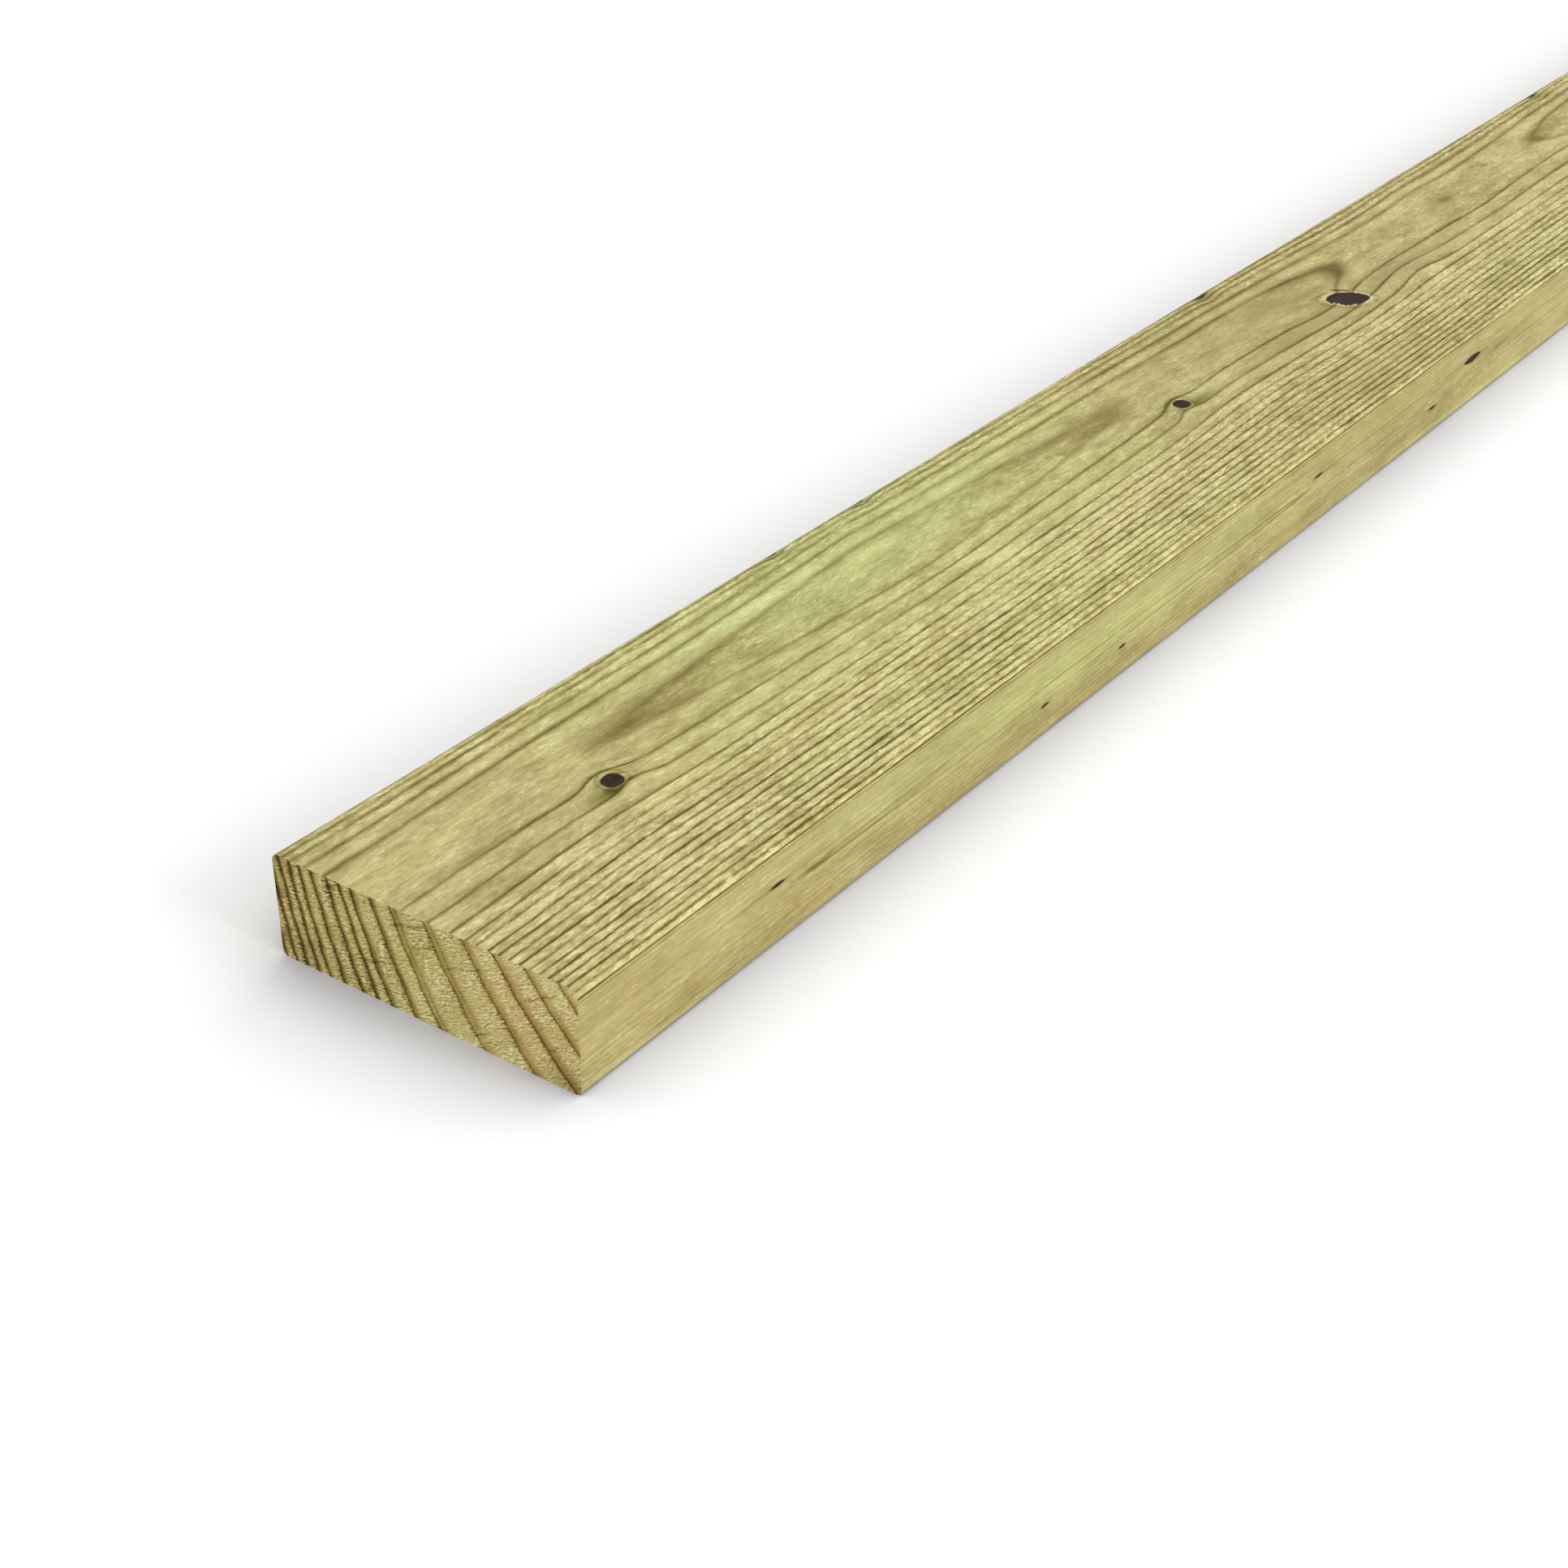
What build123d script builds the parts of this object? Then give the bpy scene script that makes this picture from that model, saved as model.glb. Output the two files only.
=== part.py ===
from build123d import *
import os

# A pressure-treated timber rafter: one length of sawn and planed softwood, lying flat on its wide face.
# Lengths are in millimetres. The origin is at the middle of the underside, +X runs along the rafter,
# +Y across its width, and +Z up.

# Driving dimensions
rafter_length = 3000.0
rafter_width = 145.0
rafter_thickness = 45.0
arris_radius = 3.0  # the planer eases the four long edges; the two ends are square saw cuts


def rafter_section():
    """The planed cross-section, with its four long edges eased, standing on the floor line."""
    outline = RectangleRounded(rafter_width, rafter_thickness, arris_radius)
    return Plane.YZ.offset(-rafter_length / 2) * Pos(0, rafter_thickness / 2) * outline


def rafter():
    """The section run from one saw cut to the other."""
    return extrude(rafter_section(), amount=rafter_length, dir=(1, 0, 0))


def main():
    os.makedirs("parts", exist_ok=True)
    export_step(rafter(), "parts/rafter.step")


main()
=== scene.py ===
import math

import bpy
import numpy as np
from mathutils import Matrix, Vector
from mathutils.geometry import delaunay_2d_cdt


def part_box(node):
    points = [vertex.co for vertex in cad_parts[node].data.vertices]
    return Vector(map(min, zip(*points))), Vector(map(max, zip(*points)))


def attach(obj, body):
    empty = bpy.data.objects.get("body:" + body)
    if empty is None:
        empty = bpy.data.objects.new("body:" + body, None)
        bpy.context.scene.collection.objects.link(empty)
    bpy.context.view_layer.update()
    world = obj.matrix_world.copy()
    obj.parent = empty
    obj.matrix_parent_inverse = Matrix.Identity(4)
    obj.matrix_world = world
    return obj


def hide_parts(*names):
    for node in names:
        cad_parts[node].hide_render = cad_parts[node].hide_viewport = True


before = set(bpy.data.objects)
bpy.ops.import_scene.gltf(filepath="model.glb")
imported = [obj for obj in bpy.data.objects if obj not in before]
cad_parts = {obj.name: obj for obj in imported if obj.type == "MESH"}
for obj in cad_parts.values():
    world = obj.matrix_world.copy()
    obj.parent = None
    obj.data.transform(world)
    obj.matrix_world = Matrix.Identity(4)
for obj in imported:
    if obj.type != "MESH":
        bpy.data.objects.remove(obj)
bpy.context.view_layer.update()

# Sizes below are in millimetres. Along runs from the near saw cut, across from the front arris
# on the wide faces and from the floor on the two narrow ones.
mm = 0.001
low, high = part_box("rafter")
length, width, thickness = [(high[i] - low[i]) / mm for i in range(3)]


# small shaping functions
def bell(offset, reach):
    return np.exp(-((offset / reach) ** 2))


def easeStep(start, end, value):
    t = np.clip((value - start) / (end - start), 0, 1)
    return t * t * (3 - 2 * t)


def patches(rows, along, across):  # soft oval patches: along, across, half length, half width, amount
    total = np.zeros_like(along)
    for x, y, reachX, reachY, amount in rows:
        total += amount * bell(along - x, reachX) * bell(across - y, reachY)
    return total


def cornersOf(grid):  # four corners of every quad, facing out
    return np.stack([grid[:-1, :-1], grid[:-1, 1:], grid[1:, 1:], grid[1:, :-1]], 2)


# the grain figure of each long face
topFace = {
    "apex": 100.0,  # middle of the cathedral figure
    "apexCount": 0.33,  # ring count there where no lens opens
    "ringsBelow": [
        80.6, 67.8, 57.1, 50.0, 45.0, 39.4, 34.8, 30.2, 25.3, 20.8, 16.3, 12.3, 8.1, 4.0, 0.7, -4.5,
    ],
    "ringsAbove": [119.0, 128.8, 135.6, 139.8, 143.4, 146.5, 150],
    "strengthBelow": [0.7, 0.7, 0.85, 0.9, 0.8, 0.95, 0.9, 1.1, 1.0, 0.95, 0.95, 1.1, 1.1, 1, 1, 1],
    "strengthAbove": [0.68, 0.72, 0.78, 0.8, 0.8, 0.8, 0.8],
    "lensStrength": 0.4,
    "lineWidths": (0.57, 1.6),  # half width of a dark line below and above the apex
    "lineBlur": 0.03,
    "flecks": 1.0,
    "streaks": 0.4,
    # places across, and the tone added there
    "toneAndShade": ([0, 55, 80, 95, 110, 122, 145], [0.115, 0.105, 0.03, 0.01, 0.01, 0.092, 0.092]),
    "bandPower": 2.5,  # how flat the figure is at its apex
    "lensPower": 1.8,
    "lensHold": 0.8,  # how far a lens still moves the lines above it
    "lenses": [(336, 208, 1.0), (1620, 190, 0.95), (2470, 240, 1.05)],  # middle, half length, depth
    # lines that curl into a knot: along, across, side, bend
    "hooks": [(746, 76, 1, 13), (1116, 76, -1, 13), (2062, 78, 1, 13)],
    "pushes": [
        (112, 83, 12, 9, 5.5), (119, 69, 8, 5, 4.0), (84, 66, 55, 42, 3.0), (561, 83, 11, 9, 4.2),
        (554, 69, 8, 5, 4.0), (590, 66, 55, 42, 3.0), (722, 76, 34, 15, -4.8), (808, 66, 30, 12, 5.6),
        (735, 32, 70, 26, -1.4), (336, 30, 130, 30, -0.9), (932, 125, 34, 9, 3.0),
        (938, 79, 46, 13, -2.6), (850, 134, 60, 6, -2.0), (303, 140, 7, 5, -2.6),
        (371, 140, 7, 5, -2.6), (698, 138, 8, 7, -2.4), (1166, 138, 8, 7, -2.4),
        (1372, 60, 14, 10, 4.4), (1330, 45, 90, 40, 1.8), (1905, 112, 16, 10, -3.8),
        (2040, 70, 40, 16, -4.2), (2110, 62, 34, 13, 4.8), (2230, 30, 120, 40, 1.6),
        (2760, 92, 14, 9, 4.0), (2720, 60, 110, 40, 2.0), (2900, 40, 90, 40, -1.8),
    ],  # along, across, half length, half width, how far the grain is pushed
    "softSpots": [
        (160, 102, 40, 12, 1.0), (512, 102, 40, 12, 1.0), (784, 104, 24, 9, 0.8),
        (1078, 104, 24, 9, 0.8), (850, 133, 70, 8, 0.8), (1010, 133, 70, 8, 0.8),
        (1440, 101, 45, 16, 1.0), (1800, 101, 45, 16, 1.0), (2220, 101, 50, 16, 1.0),
        (2700, 101, 50, 16, 1.0), (2105, 104, 24, 9, 0.8),
    ],
    "knots": [
        (112.5, 77.2, 5.0, 4.5, 0.1, 1.0), (561, 77.6, 5.0, 4.5, 0.1, 1.0),
        (744.6, 75.0, 10.6, 10.0, -0.3, 1.0), (753.5, 84.0, 0.95, 4.8, -0.62, 0.95),
        (1116, 75.6, 8.2, 9.0, 0.25, 0.95), (303, 144.2, 4.2, 2.4, 0.0, 0.8),
        (371, 144.2, 4.2, 2.4, 0.0, 0.8), (700, 143.4, 5.0, 3.6, 0.4, 0.75),
        (1166, 143.4, 5.0, 3.6, 0.0, 0.75), (1372, 54, 5.4, 4.8, 0.1, 1.0),
        (1905, 118, 6.6, 5.4, 0.0, 0.9), (2062, 78, 8.4, 8.8, -0.2, 1.0),
        (2760, 86, 4.6, 4.4, 0.1, 1.0),
    ],  # along, across, half length, half width, lean, darkness
    "smudgesAndHighlights": [
        (146, 100.5, 13, 4.2, 0.16), (526, 100.5, 14, 4.6, 0.12), (182, 105, 30, 3.6, 0.1),
        (490, 105, 30, 3.6, 0.16), (182, 95, 26, 2.8, 0.06), (490, 95, 26, 2.8, 0.12),
        (472, 100, 40, 5, 0.08), (101, 73, 9, 3.4, 0.7), (573, 73, 9, 3.0, 0.6),
        (106.4, 72.3, 3, 3.2, 0.8), (567, 72.5, 3, 3.4, 0.5), (118.5, 72.2, 2.4, 2.2, 0.5),
        (553, 72.2, 2.4, 2.2, 0.5), (745, 115.5, 16, 2.4, 0.12), (768, 110.5, 12, 3.2, 0.24),
        (779, 101.6, 8, 8, 0.5), (773, 95, 9, 4.4, 0.4), (763, 90, 8, 2.4, 0.22),
        (800, 104, 8, 5, -0.4), (1094, 110.5, 12, 3.2, 0.24), (1081, 102.6, 9, 6.2, 0.4),
        (850, 131, 60, 3.5, 0.12), (1010, 131, 60, 3.5, 0.2), (850, 138, 70, 4, 0.1),
        (932, 100.4, 7.5, 4.0, 0.6), (932, 103, 22, 9, 0.2), (990, 104, 26, 9, 0.14),
        (712, 103, 24, 7, 0.14), (860, 105, 30, 10, 0.14), (336, 109, 26, 3.4, -0.5),
        (300, 103, 18, 4, -0.3), (372, 103, 18, 4, -0.3), (336, 130, 110, 14, -0.14),
        (336, 45, 110, 16, -0.1), (250, 120, 40, 5, -0.2), (440, 118, 40, 4, -0.2),
        (660, 130, 90, 18, 0.2), (730, 98, 130, 18, 0.12), (660, 100, 60, 16, 0.1),
        (740, 70, 170, 13, 0.26), (660, 16, 90, 20, 0.24), (830, 16, 60, 18, 0.12),
        (50, 70, 60, 11, 0.14), (303, 142, 7, 3.4, 0.5), (370, 142, 7, 3.4, 0.5),
        (700, 141, 9, 5, 0.55), (1166, 140, 11, 6, 0.45), (1460, 102, 34, 9, 0.3),
        (1790, 102, 34, 9, 0.3), (2240, 101, 40, 9, 0.3), (2690, 101, 36, 9, 0.3),
        (2318, 101, 8, 4, 0.3),
    ],  # dark patches, or pale ones below zero, which on the front face's lower arris are a painted highlight
    "greens": [
        (336, 106, 140, 32, 1.0), (330, 128, 190, 16, 0.6), (870, 18, 90, 26, 0.5),
        (336, 12, 150, 16, 0.6), (336, 45, 110, 18, 0.25), (215, 70, 80, 15, 0.5),
        (457, 70, 80, 15, 0.6), (104, 76, 16, 8, 0.5), (569, 76, 16, 8, 0.4), (1640, 90, 190, 40, 0.7),
        (2480, 60, 240, 50, 0.6), (2950, 100, 120, 50, 0.5),
    ],
    "warms": [(30, 70, 90, 90, 0.5), (850, 70, 240, 120, 0.9), (2000, 40, 200, 40, 0.3)],
}
frontFace = {
    "apex": 22.9,
    "apexCount": 0.33,
    "ringsBelow": [18.6, 15.4, 12.6, 10.2, 7.6, 5.4, 3.2, 0.6, -2],
    "ringsAbove": [27.2, 30.2, 32.8, 35.4, 37.6, 39.4, 41.5, 44.0],
    "strengthBelow": [0.16, 0.12, 0.1, 0.12, 0.1, 0.1, 0.1, 0.2, 0.2],
    "strengthAbove": [0.2, 0.1, 0.12, 0.1, 0.12, 0.1, 1.6, 0.2],
    "lensStrength": 0.46,
    "lineWidths": (0.26, 0.5),
    "lineBlur": 0.012,
    "flecks": 0.3,
    "streaks": 1.0,
    # painted shade: the front face is darker overall, against the lamp that lights it, and darker still
    # towards the bottom, where the floor shades it
    "toneAndShade": ([0, 10, 16, 30, 45], [-0.06, -0.06, -0.02, 0.0, 0.02]),
    "bandPower": 1.4,
    "lensPower": 0.66,
    "lensHold": 0.0,
    "lenses": [(338, 210, 0.86), (1580, 190, 0.8), (2440, 230, 0.86)],
    "hooks": [(770, 25.5, 1, 0), (2010, 20, 1, 0)],
    "pushes": [
        (746, 27, 40, 4, 1.2), (900, 20, 160, 12, 0.8), (1300, 22, 200, 14, -1.2),
        (2050, 25, 180, 14, 1.4),
    ],
    "softSpots": [(900, 23, 60, 4, 0.6)],
    "knots": [
        (114, 26.7, 4.6, 0.85, 0.02, 1.0), (561, 26.7, 4.6, 0.75, -0.02, 1.0),
        (304.5, 15.3, 3.2, 0.9, 0.02, 0.95), (370, 15.3, 3.2, 0.9, -0.02, 0.95),
        (698, 15.3, 4.6, 0.88, 0.02, 1.0), (746, 27.4, 11.0, 2.1, 0.01, 1.0),
        (1205, 19, 4.0, 1.2, 0.02, 0.95), (1690, 28, 4.6, 1.3, -0.02, 0.95),
        (1988, 19, 9, 2.3, 0.02, 1.0), (2600, 15, 4.0, 1.1, 0.02, 0.95),
    ],
    "smudgesAndHighlights": [
        (148, 22.9, 15, 0.8, 0.14), (528, 22.9, 15, 0.8, 0.14), (185, 23, 34, 1.3, 0.08),
        (491, 23, 34, 1.3, 0.08), (304.5, 12, 5, 2.5, 0.16), (371, 12, 5, 2.5, 0.16),
        (104, 26.6, 11, 0.6, 0.26), (571, 26.6, 11, 0.6, 0.26), (783, 23.2, 14, 1.6, 0.6),
        (698, 14.4, 9, 1.6, 0.24), (720, 27, 16, 2, 0.08), (335, 23, 100, 8, -0.14),
        (335, 10, 90, 6, 0.16), (660, 23, 80, 9, 0.16), (660, 35, 80, 6, 0.16), (660, 10, 80, 6, 0.1),
        # the last two pale patches, at 3 up, are a painted highlight of light from the floor on the lower
        # arris
        (830, 10, 50, 7, -0.22), (830, 23, 50, 7, 0.06), (28, 3, 62, 2, -0.4), (800, 3, 230, 2, -0.35),
    ],
    "greens": [
        (335, 25, 190, 12, 0.75), (335, 34, 220, 9, 0.35), (750, 4, 160, 4, 0.5),
        (1700, 20, 220, 20, 0.5),
    ],
    "warms": [
        (40, 13, 110, 7, 0.3), (340, 8.5, 300, 5, 0.6), (640, 11, 160, 7, 0.5), (1300, 12, 300, 9, 0.5),
        (500, 22, 900, 40, 0.4),
    ],
}
backFace = {
    "apex": 20.0,
    "apexCount": 0.3,
    "ringsBelow": [14.0, 10.4, 7.6, 5.2, 3.2, 1.4, -0.4, -2.2],
    "ringsAbove": [26.4, 30.8, 34.4, 37.4, 39.8, 41.8, 43.6],
    "strengthBelow": [0.5, 0.5, 0.55, 0.6, 0.6, 0.6, 0.6, 0.6],
    "strengthAbove": [0.5, 0.55, 0.6, 0.6, 0.65, 0.7, 0.7],
    "lensStrength": 0.45,
    "lineWidths": (0.4, 0.4),
    "lineBlur": 0.03,
    "flecks": 0.6,
    "streaks": 0.8,
    "toneAndShade": ([0, 45], [-0.02, 0.02]),
    "bandPower": 2.0,
    "lensPower": 1.2,
    "lensHold": 0.6,
    "lenses": [(480, 235, 0.9), (1350, 260, 1.0), (2300, 290, 0.95)],
    "hooks": [(932, 18, 1, 0)],
    "pushes": [
        (303, 40, 7, 5, -1.6), (371, 40, 7, 5, -1.6), (698, 40, 8, 5, -1.6), (1166, 40, 8, 5, -1.6),
        (912, 18, 30, 6, -2.0), (1700, 24, 160, 16, 1.6), (2600, 22, 200, 16, -1.6),
    ],
    "softSpots": [(230, 20, 50, 6, 1.0), (730, 20, 50, 6, 1.0), (1790, 20, 50, 6, 1.0)],
    "knots": [
        (932, 18, 5.2, 3.8, 0.1, 1.0), (1690, 27, 4.0, 3.0, 0.1, 0.9), (2600, 13, 4.6, 3.2, 0.1, 1.0),
        (303, 43.4, 3.4, 1.8, 0.0, 0.8), (371, 43.4, 3.4, 1.8, 0.0, 0.8),
        (699, 43.0, 4.4, 2.4, 0.0, 0.85), (1166, 43.0, 4.4, 2.4, 0.0, 0.85),
    ],
    "smudgesAndHighlights": [(240, 20, 36, 3, 0.25), (720, 20, 36, 3, 0.25), (1790, 20, 40, 4, 0.25)],
    "greens": [(420, 24, 200, 16, 0.6), (1500, 12, 260, 14, 0.5), (2500, 26, 240, 16, 0.5)],
    "warms": [(900, 12, 200, 10, 0.5), (2000, 30, 260, 10, 0.4)],
}
undersideFace = {
    "apex": 31.0,
    "apexCount": 0.35,
    "ringsBelow": [22.0, 12.0, 4.0, -4.0],
    "ringsAbove": [44.0, 66.0, 80.0, 88.0, 93.5, 102.0, 110.5, 118.0, 126.0, 134.0, 140.0, 146.0],
    "strengthBelow": [0.75, 0.75, 0.75, 0.75],
    "strengthAbove": [0.75, 0.7, 0.75, 0.8, 0.8, 0.85, 0.85, 0.9, 0.9, 0.9, 0.9, 0.9],
    "lensStrength": 0.55,
    "lineWidths": (0.7, 0.45),
    "lineBlur": 0.03,
    "flecks": 0.9,
    "streaks": 0.4,
    "toneAndShade": ([0, 40, 80, 145], [0.04, 0.0, 0.06, 0.1]),
    "bandPower": 2.5,
    "lensPower": 1.8,
    "lensHold": 0.8,
    "lenses": [(620, 260, 1.0), (1750, 290, 1.05), (2700, 225, 0.9)],
    "hooks": [(1116, 34, 1, 8)],
    "pushes": [
        (305, 84, 16, 10, 4), (1116, 40, 40, 14, -4), (1160, 52, 34, 12, 4), (2150, 100, 120, 40, 2.4),
    ],
    "softSpots": [
        (360, 31, 50, 14, 1.0), (880, 31, 50, 14, 1.0), (1470, 31, 50, 14, 1.0),
        (2030, 31, 50, 14, 1.0),
    ],
    "knots": [
        (305, 80, 5.6, 5.2, 0.1, 1.0), (1116, 34, 8.6, 9.2, -0.2, 1.0), (1372, 112, 5, 4.4, 0.1, 0.9),
        (2062, 66, 6.4, 5.8, 0.1, 1.0), (2760, 120, 4.6, 4.2, 0.1, 0.9),
    ],
    "smudgesAndHighlights": [
        (370, 31, 34, 8, 0.3), (870, 31, 34, 8, 0.3), (1480, 31, 34, 8, 0.3), (2020, 31, 34, 8, 0.3),
    ],
    "greens": [(520, 60, 240, 50, 0.6), (1900, 40, 260, 50, 0.5), (2800, 90, 180, 50, 0.5)],
    "warms": [(900, 90, 200, 40, 0.4), (2400, 60, 200, 40, 0.4)],
}


# what the figures of all four faces share
figureShape = {
    "lensNose": 12.0,  # rounds the tips of a lens
    "lensWash": (1.45, 0.85),  # where the inner band fades in, in half lengths of the lens
    "lensLines": (0.7, 0.4),  # ring counts over which a line takes the lens's strength
    "curlRise": 35.5,  # how far above its knot a line bends over, and within what reach
    "curlReach": 5.5,
    "curlStretch": 3.0,
    "curlTurn": (128, 18),  # degrees round the knot over which the extra line opens
    "widthBlend": 6.0,  # half the way over which the two line widths blend
    "softSpread": 1.3,  # how much wider a line is on a soft spot
    "lineLimits": (0.02, 0.3),  # half width of a line, in rings
    "lineSink": 0.035,  # depths of the relief
    "smudgeSink": 0.05,
    "knotSink": 0.25,
    "knotRim": (1.2, 0.8),
}


# counts growth rings across a face; whole numbers are the dark lines
def growthCount(figure, along, across):
    across = across - patches(figure["pushes"], along, across)
    below, above = figure["ringsBelow"], figure["ringsAbove"]
    belowCounts, aboveCounts = range(1, len(below) + 1), range(1, len(above) + 1)
    apex, apexCount = figure["apex"], figure["apexCount"]
    reach = np.where(across < apex, apex - below[0], above[0] - apex)
    count = apexCount + (1 - apexCount) * np.abs((across - apex) / reach) ** figure["bandPower"]
    count = np.where(across < below[0], np.interp(-across, [-y for y in below], belowCounts), count)
    count = np.where(across > above[0], np.interp(across, above, aboveCounts), count)

    kept = figure["lensHold"]
    holdAbove = kept + (1 - kept) * np.clip(1 - (across - apex) / (above[0] - apex), 0, 1)
    holdBelow = np.exp(-np.clip(below[0] - across, 0, None) / (apex - below[0]))
    hold = np.where(across > apex, holdAbove, holdBelow)
    nose = figureShape["lensNose"]
    for middle, halfLength, depth in figure["lenses"]:
        away = (np.hypot(along - middle, nose) - nose) / halfLength
        opening = (depth - apexCount) * np.clip(1 - away, 0, 1) ** figure["lensPower"]
        count = count - hold * (opening + apexCount * easeStep(*figureShape["lensWash"], away))

    strength = np.where(
        across < apex,
        np.interp(count, belowCounts, figure["strengthBelow"]),
        np.interp(count, aboveCounts, figure["strengthAbove"]),
    )
    inLens = easeStep(*figureShape["lensLines"], count)
    strength = strength + (figure["lensStrength"] - strength) * inLens
    winding = np.zeros_like(count)
    for x, y, side, bend in figure["hooks"]:  # one line more on the knot's far side
        curl = bend * bell(across - y - figureShape["curlRise"], figureShape["curlReach"])
        angle = np.degrees(np.arctan2((across - y) * figureShape["curlStretch"], (along - x) * side + curl))
        winding = winding + np.where(angle < -90, 0, easeStep(*figureShape["curlTurn"], angle))
    return count, winding, across, strength


def knotPlace(knot, along, across):  # place inside a knot, one at its rim
    x, y, halfLength, halfWidth, lean = knot[:5]
    return (along - x - lean * (across - y)) / halfLength, (across - y) / halfWidth


# every quad takes the knot nearest to it, so that its outline stays true on a coarse mesh
def nearestKnots(rows, along, across):
    nearest = np.full(along.shape[:2], np.inf)
    places = np.zeros((*along.shape, 3))
    scales = np.zeros((*along.shape, 2))
    for knot in rows:
        dx, dy = knotPlace(knot, along, across)
        away = (np.hypot(dx.mean(-1), dy.mean(-1)) - 1) * min(knot[2:4])
        closer = away < nearest
        nearest[closer] = away[closer]
        places[closer] = np.stack([dx, dy, np.full_like(dx, knot[5])], -1)[closer]
        scales[closer] = knot[2:4]
    return places, scales


def ringSlope(count, winding, along, across):  # rings to the millimetre
    alongGrain = np.gradient(count + np.unwrap(winding, period=1, axis=0), along[:, 0], axis=0)
    acrossGrain = np.gradient(count + np.unwrap(winding, period=1, axis=1), across[0], axis=1)
    return np.minimum(np.hypot(alongGrain, acrossGrain), 1)


# the fields that a long face's finish reads at the corners of its quads, and the relief at its points
def sideFields(figure, seed, along, across):
    count, winding, moved, strength = growthCount(figure, along, across)
    slope = ringSlope(count, winding, along, across)
    soft = patches(figure["softSpots"], along, across)
    blendEnds = [figure["apex"] - figureShape["widthBlend"], figure["apex"] + figureShape["widthBlend"]]
    lineWidth = np.interp(across, blendEnds, figure["lineWidths"])
    lineSpan = (lineWidth * slope + figure["lineBlur"]) * (1 + figureShape["softSpread"] * soft)
    lineSpan = np.clip(lineSpan, *figureShape["lineLimits"])
    smudgeAndHighlight = patches(figure["smudgesAndHighlights"], along, across)
    green = patches(figure["greens"], along, across)
    warm = patches(figure["warms"], along, across)
    toneShadeShift = np.interp(across, *figure["toneAndShade"])

    relief = figureShape["lineSink"] * (1 - np.cos(2 * math.pi * (count + winding)))
    relief = relief + figureShape["smudgeSink"] * np.clip(smudgeAndHighlight, 0, 1)
    for knot in figure["knots"]:
        inKnot = easeStep(*figureShape["knotRim"], np.hypot(*knotPlace(knot, along, across)))
        relief = relief + figureShape["knotSink"] * knot[5] * inKnot

    turns = cornersOf(winding)
    counts = cornersOf(count) + turns - np.round(turns - turns[..., :1])
    places, scales = nearestKnots(figure["knots"], cornersOf(along), cornersOf(across))
    even = np.ones_like(along)
    return {
        "grainPlace": cornersOf(np.stack([along, moved, seed * even], -1)),
        "growthRing": np.stack([counts, cornersOf(lineSpan), cornersOf(strength)], -1),
        "knotAndCheckField": places,
        "scaleField": np.concatenate([scales, cornersOf(slope)[..., None]], -1),
        "tintField": cornersOf(np.stack([green, smudgeAndHighlight, warm], -1)),
        "faceField": cornersOf(np.stack([figure["flecks"] * even, figure["streaks"] * even, toneShadeShift], -1)),
    }, relief


# the sawn ends: rings lean over towards the front edge
endCut = {
    # where the dark lines meet the upper edge, measured from the back
    "rings": [-22, -17, -12, -7, -2, 3, 8, 13, 19.5, 27, 33.5, 39, 49, 58, 74.5, 92.5, 106.5, 121, 136, 152],
    "strength": [1, 1, 1, 1, 1, 1, 1, 1, 1.05, 1.05, 1, 1, 0.95, 0.75, 0.65, 0.7, 0.85, 0.75, 0.75, 0.75],
    "lineWidth": ([0, 60, 100], [0.8, 0.74, 0.76]),  # places from the back, half width of the lines
    # how far a ring runs sideways on its way down, by its place on the upper edge
    "lean": (9.0, 0.14, 0.00105),
    "bow": 0.2,
    "wobble": [(0.25, 0.31, 0.4), (0.15, 0.83, 0.9)],  # height, waves upwards, waves sideways
    "greenFade": (122, 76),  # places from the back
    "greenRise": (6, 45),
    "rayClimb": (0.1, 0.25),  # the rays climb towards the front
    "ringSink": 0.06,
    "wideRing": 10.0,  # rings this wide have the full relief
    "firstSeed": 300.0,
    "pitch": (1.15, 1.7),  # mesh at the near and the far end
    "pitchSway": (0.25, 2.7),
    "rimRoom": 0.7,  # in pitches
    "checkDepth": 0.7,
    "checkStep": 0.9,
    "checkSway": (0.35, 9),
    "checkRimShade": 0.45,  # how strong the painted shade is at a check's rims, against its middle
    "checkRoom": 0.55,
    "nearChecks": [
        (121.5, 30.6, 128, 34.4, 0.24), (128, 34.4, 136, 39.2, 0.2), (58, 36.6, 75, 42.4, 0.1),
        (69, 31.4, 80, 35.2, 0.1), (84, 28.4, 101, 34.6, 0.16), (96, 4.4, 103, 9.0, 0.22),
        (43, 15.2, 56, 18.8, 0.13), (131, 13.4, 137, 18, 0.16), (26, 40.6, 33, 42.4, 0.16),
    ],  # from back edge, up, to from back edge, up, width
    "farChecks": [
        (20, 12.4, 30, 15.4, 0.16), (62, 24.2, 79, 30.4, 0.24), (88, 10.2, 97, 15.2, 0.18),
        (104, 30.2, 117, 37.6, 0.2), (46, 33.6, 54, 36.2, 0.14), (126, 16.8, 134, 22.6, 0.18),
    ],
    "stains": [
        (1.5, 27, 2.3, 3.6, 1.0), (1.1, 9, 2.3, 3.4, 1.0), (0, 45, 4, 3, 0.8),
        (39.8, 42, 1.5, 2.4, 0.9), (140, 4, 9, 7, 0.6), (12, 8, 9, 8, 0.3), (30, 24, 3, 14, 0.2),
    ],
}


def endRing(fromBack, up):  # where a point's ring meets the upper edge, measured from the back
    drop = (thickness - up) / thickness
    sideways = (1 - endCut["bow"]) * drop + endCut["bow"] * drop * drop
    fixed, slope, curve = endCut["lean"]
    a = np.maximum(curve * sideways, 1e-6)
    b = 1 + slope * sideways
    return (np.sqrt(np.maximum(b * b + 4 * a * (fromBack - fixed * sideways), 0.01)) - b) / (2 * a)


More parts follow.
